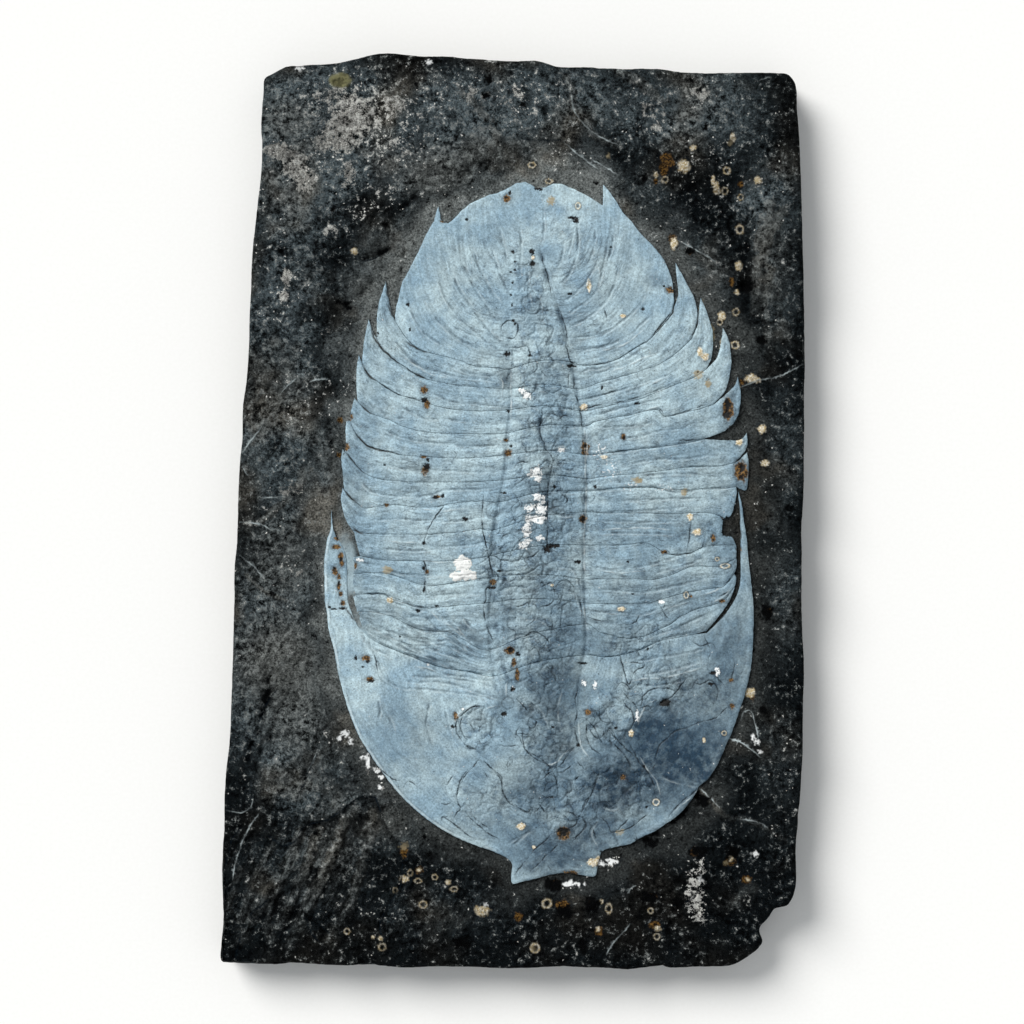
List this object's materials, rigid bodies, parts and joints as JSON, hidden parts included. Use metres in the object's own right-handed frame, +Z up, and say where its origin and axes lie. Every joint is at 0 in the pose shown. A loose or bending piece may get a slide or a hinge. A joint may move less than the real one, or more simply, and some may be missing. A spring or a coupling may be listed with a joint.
{
  "type": "trilobite_fossil",
  "caption": "Large flattened asaphopsoides trilobite fossil, pale blue-grey, on a dark split mudstone slab",
  "frame": {"origin": "Centre of the slab's bounding box, on its resting face.", "axes": "+Z is up, out of the side that shows the fossil. +Y runs from the animal's head to its tail."},
  "size_m": [0.1934, 0.3024, 0.0193],
  "materials": {
    "split_mudstone": "matt split surface with small bright flecks",
    "fossil_shield": "matt to silky, pale blue-grey mineral film"
  },
  "bodies": {
    "root": {"matrix_slab": "split_mudstone", "cephalon": "fossil_shield", "thoracic_segment_1": "fossil_shield", "thoracic_segment_2": "fossil_shield", "thoracic_segment_3": "fossil_shield", "thoracic_segment_4": "fossil_shield", "thoracic_segment_5": "fossil_shield", "thoracic_segment_6": "fossil_shield", "thoracic_segment_7": "fossil_shield", "thoracic_segment_8": "fossil_shield", "thoracic_segment_9": "fossil_shield", "thoracic_segment_10": "fossil_shield", "thoracic_segment_11": "fossil_shield", "thoracic_segment_12": "fossil_shield", "pygidium": "fossil_shield"}
  },
  "joints": []
}
